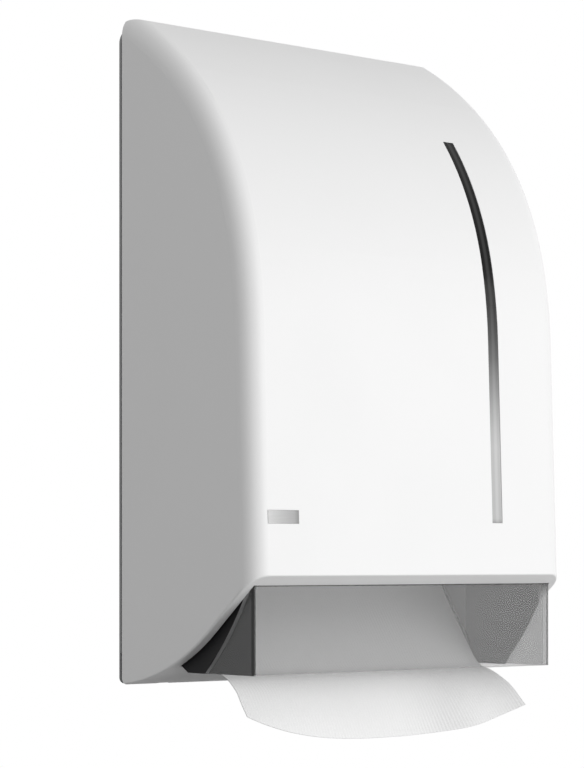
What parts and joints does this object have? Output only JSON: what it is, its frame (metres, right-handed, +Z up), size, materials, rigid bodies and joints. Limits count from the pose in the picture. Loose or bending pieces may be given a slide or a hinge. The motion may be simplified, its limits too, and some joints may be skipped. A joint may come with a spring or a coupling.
{
  "type": "folded paper towel dispenser",
  "caption": "Wall-mounted dispenser for folded paper towels: white casing that hinges open at the bottom, smoked window, level slot and towel mouth.",
  "frame": {"origin": "centre of the four wall-screw holes, on the wall face of the back plate", "axes": "+X to the right seen from the front, +Y into the wall, +Z up"},
  "size_m": [0.29, 0.1554, 0.5093],
  "materials": {
    "white_shell": "satin moulded ABS",
    "smoked_window": "clear smoked grey",
    "badge_metal": "brushed, bare",
    "screw_steel": "zinc plated",
    "nylon": "natural nylon",
    "grey_frame": "light grey moulding",
    "black_throat": "black moulding",
    "lock_plastic": "dark grey moulding",
    "button_plastic": "pale grey",
    "towel_paper": "embossed tissue",
    "buffer_rubber": "matte"
  },
  "bodies": {
    "wall_unit": {"back_plate": "grey_frame", "left_hinge_bracket": "grey_frame", "right_hinge_bracket": "grey_frame", "left_hinge_pin": "screw_steel", "right_hinge_pin": "screw_steel", "bracket_screws": "screw_steel", "left_side_guide": "grey_frame", "right_side_guide": "grey_frame", "guide_screws": "screw_steel", "magazine_floor": "black_throat", "floor_screws": "screw_steel", "towel_chute": "black_throat", "towel_stack": "towel_paper", "leading_towel": "towel_paper", "lock_housing": "lock_plastic", "lock_screws": "screw_steel", "latch_pin": "screw_steel", "latch_spring": "screw_steel", "left_buffer": "buffer_rubber", "right_buffer": "buffer_rubber"},
    "cover": {"front_cover": "white_shell", "level_window": "smoked_window", "badge_plate": "badge_metal", "lower_window": "smoked_window", "window_screws": "screw_steel", "keeper_bar": "screw_steel", "left_hinge_bush": "nylon", "right_hinge_bush": "nylon"},
    "button": {"release_button": "button_plastic"},
    "lever": {"latch_lever": "nylon"}
  },
  "joints": [
    {"name": "cover_hinge", "type": "hinge", "parent": "wall_unit", "child": "cover", "pos_m": [0, -0.014, -0.236], "axis": [1, 0, 0], "range_deg": [0, 78]},
    {"name": "button_press", "type": "slide", "parent": "wall_unit", "child": "button", "axis": [0, 0, -1], "range_m": [0, 0.0019], "stiffness_N_per_m": 300, "springref_m": -0.003, "deforming": ["latch_spring"]},
    {"name": "latch_tilt", "type": "hinge", "parent": "wall_unit", "child": "lever", "pos_m": [0, -0.017, 0.1935], "axis": [-1, 0, 0], "range_deg": [0, 11]}
  ],
  "couplings": [
    {"joint": "latch_tilt", "follows": "button_press", "rad_per_m": 100}
  ]
}
